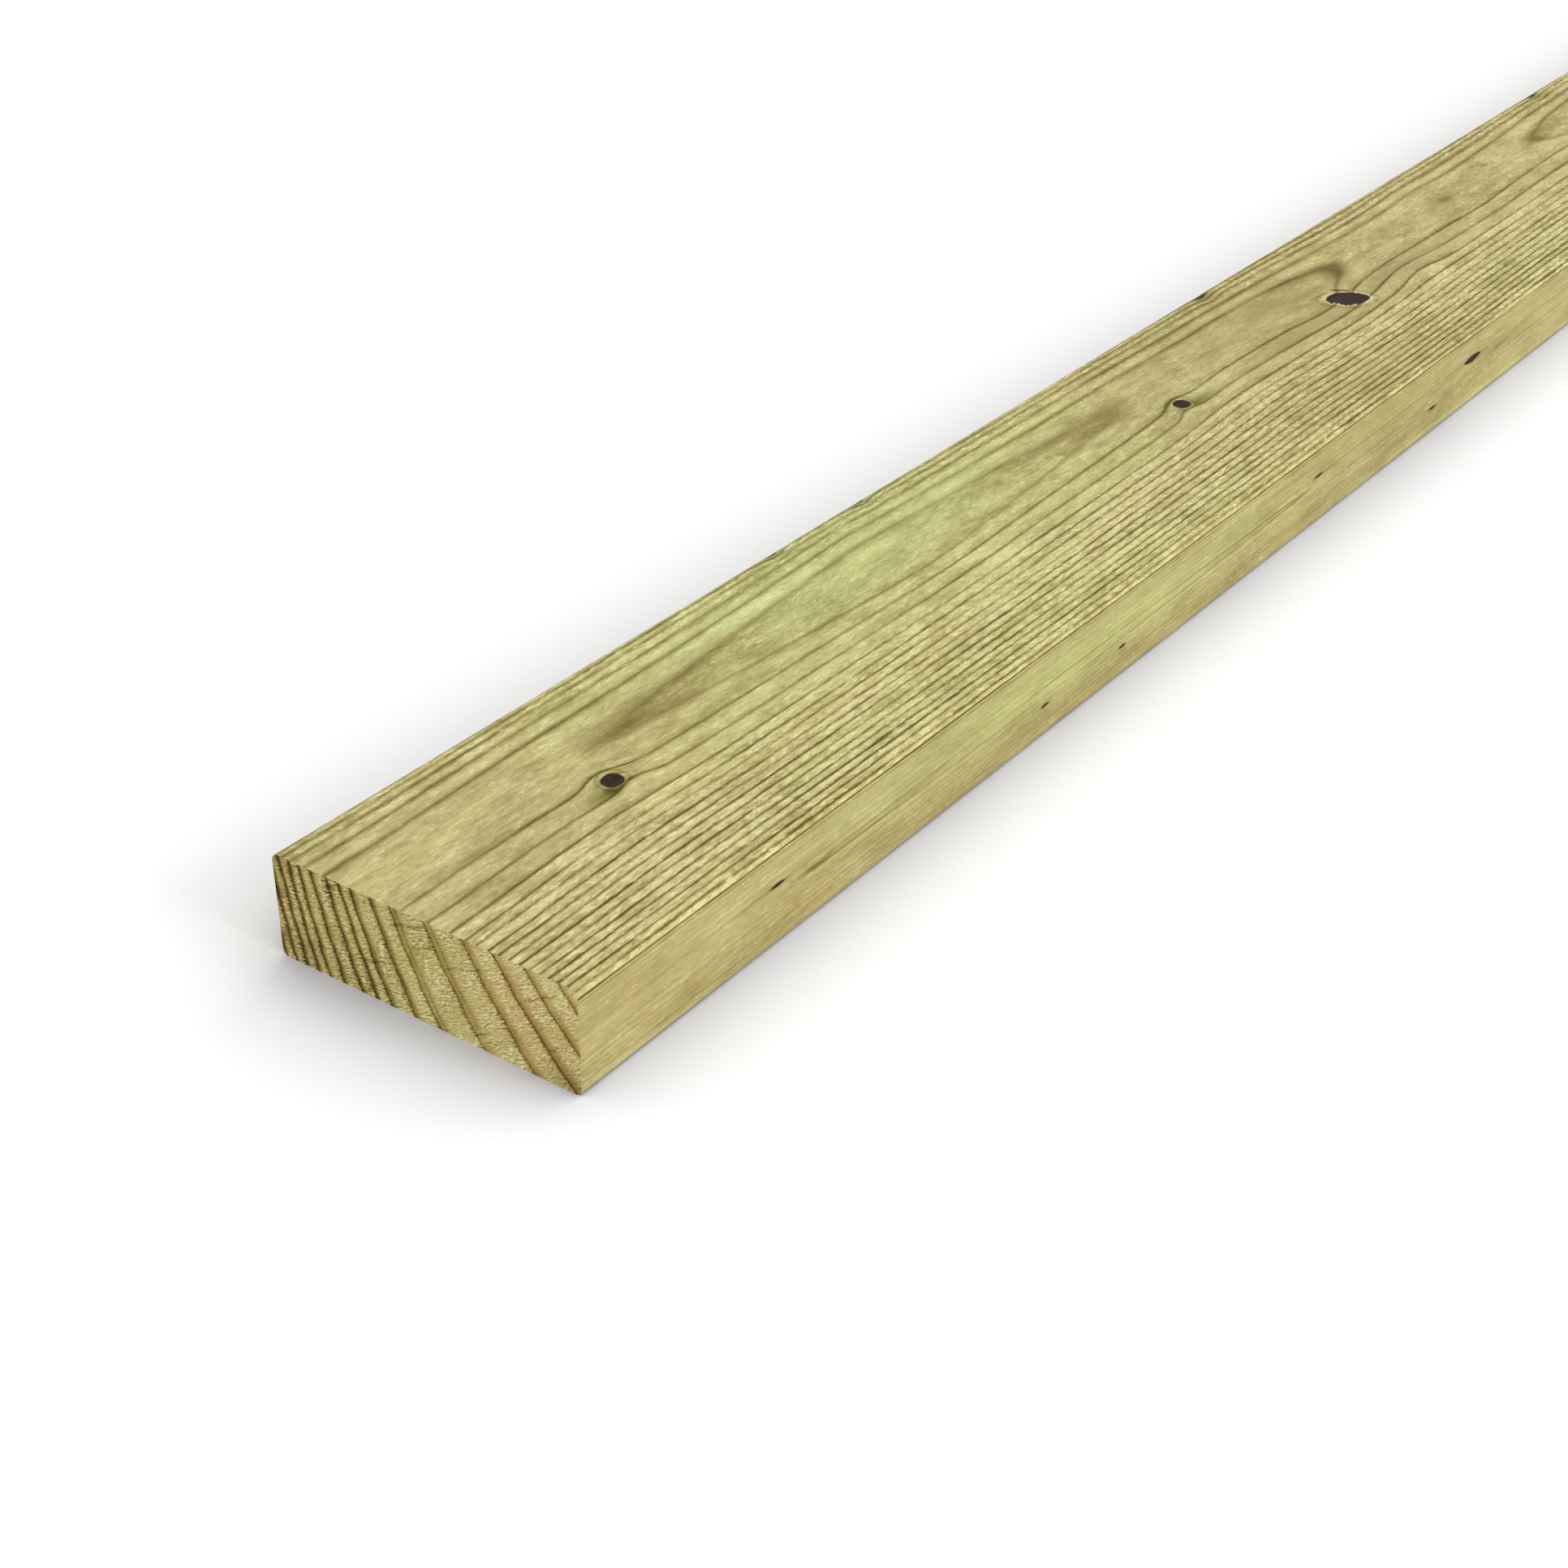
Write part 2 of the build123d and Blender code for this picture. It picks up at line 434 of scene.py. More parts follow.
def endFields(fromBack, up, seed, checkShade):
    ring = endRing(fromBack, up)
    wobble = sum(height * np.sin(up * rise + ring * run) for height, rise, run in endCut["wobble"])
    marks = endCut["rings"]
    count = np.interp(ring + wobble, marks, range(len(marks)))
    spacing = np.interp(ring, marks[:-1], np.diff(marks))
    strength = np.interp(count, range(len(marks)), endCut["strength"])
    green = easeStep(*endCut["greenFade"], fromBack) * (0.5 + 0.5 * easeStep(*endCut["greenRise"], fromBack))
    stain = patches(endCut["stains"], fromBack, up)
    lineWidth = np.interp(fromBack, *endCut["lineWidth"])
    relief = endCut["ringSink"] * (1 - np.cos(2 * math.pi * count))
    relief = relief * np.clip(spacing / endCut["wideRing"], 0.3, 1)
    straight, curved = endCut["rayClimb"]
    climb = straight * fromBack + curved * fromBack * fromBack / width
    blank = np.zeros_like(ring)
    return {
        "grainPlace": np.stack([fromBack, thickness - up + climb, blank + seed], -1),
        "growthRing": np.stack([count, lineWidth / spacing, strength], -1),
        # on the ends this field holds the place from the back and the painted shade of the checks
        "knotAndCheckField": np.stack([fromBack, blank, checkShade], -1),
        "scaleField": np.stack([blank, blank, 1 / spacing], -1),
        "tintField": np.stack([green, stain, blank], -1),
        "faceField": np.stack([blank, blank, blank], -1),
    }, relief


# the timber's mesh
timber = {
    "name": "rafter_timber",
    "arris": 3.0,  # radius of the eased long edges
    "arrisSteps": 3,
    "topPitch": 1.35,
    "edgePitch": 1.7,
    "backPitch": 2.4,
    "undersidePitch": 3.6,
    "stationPitch": 12.0,
    "farStationPitch": 20.0,
    "nearReach": 1260.0,
    "closeSpots": [
        (112, 26, 3.2), (150, 40, 6.5), (303, 10, 3.5), (371, 10, 3.5), (522, 40, 6.5), (561, 26, 3.2),
        (700, 14, 3.5), (760, 55, 3.2), (932, 30, 6), (1116, 45, 4.5), (1372, 20, 5), (1690, 12, 5),
        (1905, 20, 5), (2062, 45, 5), (2600, 12, 5), (2760, 20, 5),
    ],  # along, reach, pitch where the stations lie closer
    "pitchGrowth": 0.22,  # how fast the stations spread again beside such a spot
    "seedStep": 40.0,
    "arrisFade": 2,  # rows of points over which the relief comes in from an edge
    "mapMargin": 0.006,
    "mapEndShare": 0.16,  # share of the picture map that the two ends take
}


def ramp(start, end, pitch):
    return np.linspace(start, end, max(2, round(abs(end - start) / pitch) + 1))


# walks round the section from the back edge over the top; each row is y, z, normal y, normal z, across
def sectionFaces():
    r = timber["arris"]
    quarter = math.pi / 2
    turn = np.linspace(0, quarter, timber["arrisSteps"] + 1)

    def corner(y, z, start, across, sign):
        normalY, normalZ = np.cos(start + turn), np.sin(start + turn)
        return np.stack([y + r * normalY, z + r * normalZ, normalY, normalZ, across + sign * r * turn], -1)

    def flat(y, z, normal, across):
        rows = np.broadcast_arrays(y, z, normal[0], normal[1], across)
        return np.stack([np.asarray(row, float) for row in rows], -1)

    topLine = ramp(width - r, r, timber["topPitch"])
    edgeLine = ramp(thickness - r, r, timber["edgePitch"])
    backLine = ramp(r, thickness - r, timber["backPitch"])
    underLine = ramp(r, width - r, timber["undersidePitch"])
    top = np.concatenate([
        corner(width - r, thickness - r, 0, width - r + r * quarter, -1)[:-1],
        flat(topLine, thickness, (0, 1), topLine)[:-1],
        corner(r, thickness - r, quarter, r, -1),
    ])
    front = np.concatenate([
        flat(0, edgeLine, (-1, 0), edgeLine)[:-1],
        corner(r, r, 2 * quarter, r, -1),
    ])
    underside = flat(underLine, 0, (0, -1), underLine)
    back = np.concatenate([
        corner(width - r, r, 3 * quarter, r - r * quarter, 1)[:-1],
        flat(width, backLine, (1, 0), backLine),
    ])
    return [(topFace, top), (frontFace, front), (undersideFace, underside), (backFace, back)]


def stationLine():
    x = np.arange(0, length + 1)
    pitch = np.where(x < timber["nearReach"], timber["stationPitch"], timber["farStationPitch"])
    for middle, reach, closePitch in timber["closeSpots"]:
        beyond = np.clip(np.abs(x - middle) - reach, 0, None)
        pitch = np.minimum(pitch, closePitch + timber["pitchGrowth"] * beyond)
    steps = np.concatenate([[0], np.cumsum(1 / pitch[:-1])])
    return np.interp(np.linspace(0, steps[-1], math.ceil(steps[-1]) + 1), steps, x)


def signedAreas(flat, triangles):
    a, b, c = (flat[triangles[:, i]] for i in range(3))
    return (b[:, 0] - a[:, 0]) * (c[:, 1] - a[:, 1]) - (b[:, 1] - a[:, 1]) * (c[:, 0] - a[:, 0])


def checkGrooves(checks):  # three points across each step of a check, with their depth and painted shade
    points, depths, checkShadings = [], [], []
    sway, waves = endCut["checkSway"]
    for back0, up0, back1, up1, opening in checks:
        start, end = np.array([width - back0, up0]), np.array([width - back1, up1])
        run = end - start
        side = np.array([-run[1], run[0]]) / np.linalg.norm(run)
        for t in np.linspace(0, 1, max(4, round(np.linalg.norm(run) / endCut["checkStep"]))):
            place = start + run * t + side * sway * math.sin(waves * t + back0)
            bulge = math.sqrt(max(0.02, 1 - (2 * t - 1) ** 2))
            wide = opening * bulge / 2
            points += [place - side * wide, place, place + side * wide]
            depths += [0, endCut["checkDepth"] * bulge, 0]
            checkShadings += [endCut["checkRimShade"], 1, endCut["checkRimShade"]]
    return np.array(points), depths, checkShadings


# one sawn end, triangulated between its rim and an even field of points, with the checks as open grooves
# that carry painted shade
def endFace(rimPoints, checks, pitch):
    ys = np.arange(pitch, width, pitch)
    zs = np.arange(pitch, thickness, pitch)
    inner = np.stack(np.meshgrid(ys, zs), -1).reshape(-1, 2)
    sway, waves = endCut["pitchSway"]
    inner[:, 0] += sway * pitch * np.sin(inner[:, 1] * waves)
    arris = timber["arris"]
    cornerMiddle = np.clip(inner, arris, [width - arris, thickness - arris])
    inner = inner[np.linalg.norm(inner - cornerMiddle, axis=1) < arris - endCut["rimRoom"] * pitch]
    grooves, depths, checkShadings = checkGrooves(checks)
    near = np.min(np.linalg.norm(inner[:, None] - grooves[None], axis=2), axis=1)
    inner = inner[near > endCut["checkRoom"]]
    rim = len(rimPoints)
    flat = np.concatenate([rimPoints, grooves, inner])
    depth = np.concatenate([np.zeros(rim), depths, np.zeros(len(inner))])
    checkShading = np.concatenate([np.zeros(rim), checkShadings, np.zeros(len(inner))])
    edges = [(i, (i + 1) % rim) for i in range(rim)]
    found = delaunay_2d_cdt([Vector(p) for p in flat], edges, [], 0, 1e-6)
    source = [ids[0] for ids in found[3]]
    triangles = np.array([[source[i] for i in face] for face in found[2]])
    return flat, depth, checkShading, triangles[np.abs(signedAreas(flat, triangles)) > 1e-7]


def markSaws(mesh, columns, stationCount):  # the saw cuts stay sharp
    ends = np.empty(len(mesh.edges) * 2, np.int32)
    mesh.edges.foreach_get("vertices", ends)
    ends = ends.reshape(-1, 2)
    last = (stationCount - 1) * columns
    near = (ends < columns).all(1)
    far = ((ends >= last) & (ends < last + columns)).all(1)
    sharp = near | far
    mesh.edges.foreach_set("use_edge_sharp", sharp)
    return int(sharp.sum())


def makeTimber():
    faces = sectionFaces()
    stations = stationLine()
    section = np.concatenate([rows[:-1] for figure, rows in faces])
    columns = len(section)
    place = np.empty((len(stations), columns, 3))
    sink = np.zeros((len(stations), columns))
    place[..., 0] = stations[:, None]
    place[..., 1:] = section[None, :, :2]
    corners, slots, maps, fields = [], [], [], {}
    margin, endShare = timber["mapMargin"], timber["mapEndShare"]
    spans = [abs(rows[-1, 4] - rows[0, 4]) for figure, rows in faces]
    mapStart = endShare
    first = 0
    for number, (figure, rows) in enumerate(faces):
        ids = np.arange(first, first + len(rows)) % columns
        first += len(rows) - 1
        along, across = np.meshgrid(stations, rows[:, 4], indexing="ij")
        data, relief = sideFields(figure, timber["seedStep"] * number, along, across)
        fromEdge = np.minimum(np.arange(len(rows)), np.arange(len(rows))[::-1])
        sink[:, ids] = relief * np.clip(fromEdge / timber["arrisFade"], 0, 1)
        grid = cornersOf(np.arange(len(stations))[:, None] * columns + ids[None, :])
        corners.append(grid.reshape(-1, 4))
        slots.append(np.zeros(grid.shape[0] * grid.shape[1], int))
        for key, values in data.items():
            fields.setdefault(key, []).append(values.reshape(-1, 3))
        share = spans[number] / sum(spans) * (1 - endShare)
        u = margin + (1 - 2 * margin) * along / length
        v = mapStart + margin / 2 + (share - margin) * np.abs(across - rows[0, 4]) / spans[number]
        maps.append(cornersOf(np.stack([u, v], -1)).reshape(-1, 2))
        mapStart += share
    place[..., 1:] -= section[None, :, 2:4] * sink[..., None]
    points = [place.reshape(-1, 3)]
    quads = np.concatenate(corners)
    print("long faces:", len(stations), "stations,", columns, "points round,", len(quads), "quads")

    triangles = []
    pointCount = len(points[0])
    for side, checks in enumerate((endCut["nearChecks"], endCut["farChecks"])):
        flat, depth, checkShading, found = endFace(section[:, :2], checks, endCut["pitch"][side])
        seed = endCut["firstSeed"] + timber["seedStep"] * side
        data, relief = endFields(width - flat[:, 0], flat[:, 1], seed, checkShading)
        sunk = (relief + depth)[columns:]
        points.append(np.column_stack([sunk if side == 0 else length - sunk, flat[columns:]]))
        rimIds = np.arange(columns) + side * (len(stations) - 1) * columns
        ids = np.concatenate([rimIds, pointCount + np.arange(len(flat) - columns)])
        pointCount += len(flat) - columns
        area = signedAreas(flat, found)
        facing = area > 0 if side == 1 else area < 0
        found = np.where(facing[:, None], found, found[:, ::-1])
        triangles.append(ids[found])
        slots.append(np.ones(len(found), int))
        for key, values in data.items():
            fields[key].append(values[found].reshape(-1, 3))
        u = margin + (0.5 - 2 * margin) * flat[:, 0] / width + 0.5 * side
        v = margin + (endShare - 2 * margin) * flat[:, 1] / thickness
        maps.append(np.stack([u, v], -1)[found].reshape(-1, 2))
    ends = np.concatenate(triangles)
    print("sawn ends:", len(ends), "triangles; the whole piece:", 2 * len(quads) + len(ends), "triangles")

    points = np.concatenate(points) * mm + np.array(low)
    mesh = bpy.data.meshes.new(timber["name"])
    mesh.from_pydata(points, [], [*quads.tolist(), *ends.tolist()])
    mesh.polygons.foreach_set("material_index", np.concatenate(slots).astype(np.int32))
    mesh.shade_smooth()
    mesh.validate()
    rimEdges = markSaws(mesh, columns, len(stations))
    for key, rows in fields.items():
        layer = mesh.attributes.new(key, "FLOAT_VECTOR", "CORNER")
        layer.data.foreach_set("vector", np.concatenate(rows).astype(np.float32).ravel())
    layer = mesh.uv_layers.new(name="OFBake")
    layer.data.foreach_set("uv", np.concatenate(maps).astype(np.float32).ravel())
    print("mesh made,", rimEdges, "sharp edges at the saw cuts")
    piece = bpy.data.objects.new(timber["name"], mesh)
    bpy.context.scene.collection.objects.link(piece)
    return piece


# node helpers; all of them add to the tree that is being built
tree = None


def workIn(nodeTree):
    global tree
    tree = nodeTree


def setInput(socket, value):
    if isinstance(value, bpy.types.NodeSocket):
        tree.links.new(value, socket)
    else:
        socket.default_value = value


def setInputs(node, values):  # by name
    for name, value in values.items():
        setInput(node.inputs[name], value)


def addNode(kind, *values, **settings):  # the values go to its inputs in turn
    node = tree.nodes.new("ShaderNode" + kind)
    for key, value in settings.items():
        setattr(node, key, value)
    for socket, value in zip(node.inputs, values):
        setInput(socket, value)
    return node


def calc(operation, *values, clamp=False):
    return addNode("Math", *values, operation=operation, use_clamp=clamp).outputs[0]


def times(first, second, clamp=False):
    return calc("MULTIPLY", first, second, clamp=clamp)


def addTimes(amount, weight, base, clamp=False):  # amount times weight, added to the base
    return calc("MULTIPLY_ADD", amount, weight, base, clamp=clamp)


def centred(value):  # a pattern of 0 to 1, moved to -0.5 to 0.5
    return calc("SUBTRACT", value, 0.5)


def readField(name):
    return addNode("Attribute", attribute_name=name).outputs["Vector"]


def partsOf(vector):
    return list(addNode("SeparateXYZ", vector).outputs)


def speckle(place, stretch, detail, roughness, shift, distortion=0.0):
    move = (shift, shift * 0.7, shift * 1.3)
    spot = addNode("VectorMath", place, (*stretch, 1), move, operation="MULTIPLY_ADD").outputs[0]
    noise = addNode("TexNoise", noise_dimensions="3D")
    setInputs(noise, {
        "Vector": spot, "Scale": 1, "Detail": detail, "Roughness": roughness, "Distortion": distortion,
    })
    return noise.outputs["Fac"]


def slid(place, offset):  # the same pattern read a little to one side
    return addNode("VectorMath", place, (*offset, 0), operation="ADD").outputs[0]


def remap(value, start, end, low=0.0, high=1.0, smooth=True):
    kind = "SMOOTHSTEP" if smooth else "LINEAR"
    return addNode("MapRange", value, start, end, low, high, interpolation_type=kind).outputs[0]


def linear(colour):  # a colour as read on screen, 0 to 255
    parts = [c / 255 for c in colour]
    return (*[p / 12.92 if p < 0.04045 else ((p + 0.055) / 1.055) ** 2.4 for p in parts], 1)


def toneRamp(value, stops):
    node = addNode("ValToRGB", value)
    elements = node.color_ramp.elements
    while len(elements) < len(stops):
        elements.new(0.5)
    for element, (place, colour) in zip(elements, stops):
        element.position = place
        element.color = linear(colour)
    return node.outputs[0]


def blend(amount, first, second, kind="MIX"):
    node = addNode("Mix", data_type="RGBA", blend_type=kind)
    setInputs(node, {"Factor": amount, "A": first, "B": second})
    return [s for s in node.outputs if s.type == "RGBA"][0]


def startMaterial(name):
    material = bpy.data.materials.new(name)
    material.use_nodes = True
    workIn(material.node_tree)
    shader = next(n for n in tree.nodes if n.type == "BSDF_PRINCIPLED")
    return material, shader


def dressShader(shader, finish, colour, roughness, height):
    bump = addNode("Bump")
    setInputs(bump, {"Strength": finish["bump"], "Distance": finish["bumpDepth"] * mm, "Height": height})
    setInputs(shader, {
        "Base Color": colour, "Roughness": roughness, "Specular IOR Level": finish["gloss"],
        "Normal": bump.outputs[0],
    })


# how far a point is before (below zero) or after a dark line, in rings
def ringPhase(count):
    return centred(calc("FRACT", calc("ADD", count, 0.5)))


def bellOf(value, reach):
    share = calc("DIVIDE", value, reach)
    return calc("EXPONENT", times(times(share, share), -1))


def ringPlace(along, ring, seed):  # a place on one ring only, for what differs from ring to ring
    return addNode("CombineXYZ", along, times(ring, 11.3), seed).outputs[0]


planedFinish = {
    "tones": [
        (0.0, (84, 72, 18)), (0.22, (128, 114, 50)), (0.45, (171, 157, 97)), (0.6, (195, 183, 122)),
        (0.78, (217, 206, 143)), (1.0, (242, 232, 174)),
    ],
    "baseTone": 0.585,
    "green": (0.95, 1.09, 0.98, 1),
    "greenPatches": 0.25,
    "warm": (1.0, 0.965, 1.02, 1),
    "blush": (1.0, 0.95, 0.95, 1),  # brownish patches here and there
    "knotTones": [(0.0, (26, 11, 6)), (0.55, (44, 24, 17)), (1.0, (84, 60, 38))],
    "lineDepth": 0.4,
    "lineSway": 1.6,
    "linePatches": (0.86, 1.1),  # how much a line's depth varies
    "lineTones": (0.78, 1.14),  # and from one line to the next
    "softDepth": 0.18,
    "softPatches": (0.45, 1.5),
    "softReach": (0.17, 0.05),  # before and after a line, in rings
    "ringFall": 0.12,  # how much paler a ring starts than it ends
    "ringTone": 0.3,  # how much one ring differs from the next
    "closeGrain": (0.06, 0.2),  # rings to the millimetre from open to close grain
    "mottle": (0.06, 0.13),  # on open and on close grain
    "paleFlecks": (0.29, 0.7),
    "darkFlecks": (-0.1, -0.22),
    "patches": 0.6,
    "clouds": 0.5,
    "fineGrain": 0.3,
    "streaks": 0.42,
    "lineCalm": 0.5,  # how much calmer the flecks are on a line
    "smudgeCalm": 0.35,  # and what is left of them on a dark patch
    "smudgeHighlightTone": 0.42,
    "haloTone": 0.06,  # dark, pale and dark again round a knot
    "collarTone": 0.32,
    "shellTone": 0.12,
    "fray": 0.0065,
    "roughness": (0.62, 0.8),
    "gloss": 0.2,
    "bump": 0.6,
    "bumpDepth": 0.3,
    "heights": {"lines": -0.7, "fibre": 0.5, "fine": 0.3, "flecks": 0.4, "knots": -0.4},
    "patterns": {
        "ragged": ((0.035, 0.3), 4, 0.62, 3.1),
        "patchy": ((0.012, 0.14), 3, 0.6, 8.3),
        "lineTone": ((0.012, 1), 3, 0.6, 41.0),
        "ringTone": ((0.05, 1), 3, 0.62, 26.0),
        "cloud": ((0.022, 0.07), 4, 0.6, 1.7),
        "patch": ((0.06, 0.2), 3, 0.6, 17.3),
        "fleck": ((0.2, 0.85), 4, 0.7, 12.4, 0.35),
        "fibre": ((0.012, 0.8), 4, 0.62, 5.9),
        "fine": ((0.5, 2.4), 2, 0.6, 21.0),
        "mottle": ((0.2, 0.6), 4, 0.72, 37.0),
        "fray": ((0.13, 0.6), 3, 0.5, 7.7),
        "green": ((0.009, 0.05), 3, 0.6, 31.0),
        "blush": ((0.05, 0.12), 3, 0.6, 44.0),
        "knot": ((0.45, 0.8), 2, 0.6, 15.0),
    },  # waves along and across, detail, roughness, shift, distortion
}


def planedMaterial():
    finish = planedFinish
    material, shader = startMaterial("treated_softwood_planed")
    place = readField("grainPlace")
    along, _, seed = partsOf(place)
    count, lineSpan, strength = partsOf(readField("growthRing"))
    knotX, knotY, knotTone = partsOf(readField("knotAndCheckField"))
    halfLength, halfWidth, slope = partsOf(readField("scaleField"))
    green, smudgeAndHighlight, warm = partsOf(readField("tintField"))
    flecks, streaks, toneShadeShift = partsOf(readField("faceField"))

    def pattern(name, spot=place):
        return speckle(spot, *finish["patterns"][name])

    # dark growth lines: sharp on the young side, soft on the other
    sway = times(centred(pattern("ragged")), times(slope, finish["lineSway"]))
    swayed = calc("ADD", count, sway)
    phase = ringPhase(swayed)
    core = bellOf(phase, lineSpan)
    reachBefore, reachAfter = finish["softReach"]
    before = calc("DIVIDE", calc("MINIMUM", phase, 0), reachBefore)
    after = calc("DIVIDE", calc("MAXIMUM", phase, 0), -reachAfter)
    soft = times(calc("EXPONENT", before), calc("EXPONENT", after))
    patchy = remap(pattern("patchy"), 0.3, 0.7)
    soft = times(soft, remap(patchy, 0, 1, *finish["softPatches"]))
    lines = times(core, finish["lineDepth"])
    lines = times(lines, remap(patchy, 0, 1, *finish["linePatches"]))
    lines = addTimes(soft, finish["softDepth"], lines)
    fall = centred(calc("FRACT", swayed))
    lines = times(addTimes(fall, finish["ringFall"], lines), strength)
    close = remap(slope, *finish["closeGrain"])
    onLine = ringPlace(along, calc("ROUND", swayed), seed)
    lineTone = remap(pattern("lineTone", onLine), 0.35, 0.65, *finish["lineTones"])
    lineTone = calc("SUBTRACT", lineTone, 1)
    lines = times(lines, addTimes(lineTone, close, 1))

    # fibre, flecks and cloudy patches
    patch, fleck, fibre, fine = [pattern(name) for name in ("patch", "fleck", "fibre", "fine")]
    paleFleck = times(remap(fleck, 0.5, 0.7), remap(patch, 0.4, 0.64, 0.15, 1.5))
    darkFleck = remap(fleck, 0.46, 0.28)
    inRing = ringPlace(along, calc("FLOOR", swayed), seed)
    ringTone = times(centred(pattern("ringTone", inRing)), close)
    mottle = remap(pattern("mottle"), 0.36, 0.64, -1.0, 1.0)
    mottle = times(mottle, remap(close, 0, 1, *finish["mottle"]))
    grain = addTimes(centred(patch), finish["patches"], mottle)
    grain = addTimes(ringTone, finish["ringTone"], grain)
    grain = addTimes(paleFleck, remap(close, 0, 1, *finish["paleFlecks"]), grain)
    grain = addTimes(darkFleck, remap(close, 0, 1, *finish["darkFlecks"]), grain)
    grain = addTimes(centred(fine), finish["fineGrain"], grain)
    grain = times(grain, flecks)
    streak = times(centred(fibre), times(streaks, finish["streaks"]))
    grain = calc("ADD", grain, streak)
    grain = addTimes(centred(pattern("cloud")), finish["clouds"], grain)
    calm = addTimes(core, -finish["lineCalm"], 1)
    calm = times(calm, remap(smudgeAndHighlight, 0.05, 0.3, 1.0, finish["smudgeCalm"]))
    # the tone across the face goes in here, with the painted shade of the front face
    tone = addTimes(grain, calm, calc("ADD", toneShadeShift, finish["baseTone"]))
    tone = calc("SUBTRACT", tone, lines)
    # dark patches, and the painted highlight on the front's lower arris
    tone = addTimes(smudgeAndHighlight, -finish["smudgeHighlightTone"], tone)

    # knots: round ones blunt, pin knots pointed
    slender = times(calc("DIVIDE", halfWidth, halfLength), 1.4)
    power = addTimes(calc("MINIMUM", slender, 1), 1.1, 1.25)
    reachX = calc("POWER", calc("ABSOLUTE", knotX), power)
    reachY = calc("POWER", calc("ABSOLUTE", knotY), power)
    radius = calc("POWER", calc("ADD", reachX, reachY), calc("DIVIDE", 1, power))
    knotSize = calc("MINIMUM", halfLength, halfWidth)
    fray = times(centred(pattern("fray")), remap(knotX, 0.1, -0.8, 0.3, 1.7))
    fray = times(fray, times(calc("POWER", knotSize, 3), finish["fray"]))
    knotEdge = addTimes(calc("SUBTRACT", radius, 1), knotSize, fray)
    knotMask = times(remap(knotEdge, 0.3, -0.25), knotTone)
    halo = times(remap(radius, 2.1, 1.1), knotTone)
    tone = addTimes(halo, -finish["haloTone"], tone)
    collar = times(remap(knotEdge, 0.2, 0.6), remap(knotEdge, 2.6, 1.2))
    collar = times(collar, remap(knotSize, 5, 9))  # large knots only
    tone = addTimes(collar, finish["collarTone"], tone)
    shell = times(remap(radius, 1.3, 1.42), remap(radius, 1.62, 1.45))
    shell = times(shell, remap(knotSize, 2, 4))  # none round a pin knot
    tone = addTimes(times(shell, knotTone), -finish["shellTone"], tone)

    colour = toneRamp(tone, finish["tones"])
    greenNoise = remap(pattern("green"), 0.4, 0.75)
    greenAmount = addTimes(greenNoise, finish["greenPatches"], green, clamp=True)
    colour = blend(greenAmount, colour, finish["green"], "MULTIPLY")
    colour = blend(calc("MINIMUM", warm, 1), colour, finish["warm"], "MULTIPLY")
    colour = blend(remap(pattern("blush"), 0.5, 0.72), colour, finish["blush"], "MULTIPLY")
    colour = blend(knotMask, colour, toneRamp(pattern("knot"), finish["knotTones"]))
    rough = remap(fibre, 0.3, 0.7, *finish["roughness"], smooth=False)
    heights = finish["heights"]
    height = times(fibre, heights["fibre"])
    for name, mask in (("lines", core), ("fine", fine), ("flecks", paleFleck), ("knots", knotMask)):
        height = addTimes(mask, heights[name], height)
    dressShader(shader, finish, colour, rough, height)
    return material


sawnFinish = {
    "tones": [
        (0.0, (62, 46, 12)), (0.2, (110, 90, 38)), (0.42, (164, 143, 80)), (0.6, (202, 183, 116)),
        (0.8, (230, 213, 146)), (1.0, (254, 243, 192)),
    ],
    "baseTone": 0.695,
    "green": (0.97, 1.02, 0.98, 1),
    "greenTone": 0.02,
    "latewood": (1.0, 0.91, 0.84, 1),
    "latewoodAmount": (0.9, 0.1),  # on plain and on green wood
    "stain": (0.42, 0.34, 0.28, 1),
    "lineSway": 0.5,
    "lineDepth": 0.28,
    "glowDepth": 0.16,  # a softer, wider line under each dark one
    "glowSpread": 2.4,
    "secondLine": (0.17, 0.035, 0.14),  # a faint line after the dark ones: rings, half width, depth
    "secondFade": ((38, 52), (104, 90)),  # where it shows, from the back
    "lateTone": (-0.18, -0.15),  # on plain and on green wood
    "tuftToneAndShade": (1.05, 0.25),  # how torn the early and the late wood is, and how strong its painted tuft light and shade are
    # painted light: how far to one side the fuzz is read again, to paint a lit and a shaded side on each
    # tuft
    "paintedLightSide": (0.25, 0.3),
    "paintedTuftShading": 2.0,
    "paleTufts": 0.34,
    "darkTufts": 0.14,
    "cells": 0.3,
    "sawDark": 0.2,
    "sawPale": 0.16,
    "tornPatches": (0.65, 1.25),
    "clouds": 0.4,
    "backTone": -0.075,
    "checkShadeTone": 0.28,
    "roughness": 0.85,
    "gloss": 0.12,
    "bump": 1.0,
    "bumpDepth": 0.8,
    "heights": {"early": 1.2, "late": 0.5, "cells": 0.4, "lines": -0.5},
    "patterns": {
        "ragged": ((0.25, 0.5), 3, 0.6, 2.2),
        "fuzz": ((0.45, 1.0), 3, 0.6, 4.6, 0.2),
        "cells": ((0.9, 2.0), 2, 0.6, 9.1),
        "cloud": ((0.05, 0.07), 3, 0.55, 14.2),
        "saw": ((0.06, 1.3), 2, 0.55, 23.0),
        "torn": ((0.07, 0.1), 2, 0.5, 19.0),
    },  # waves from the back and down, detail, roughness, shift, distortion
}


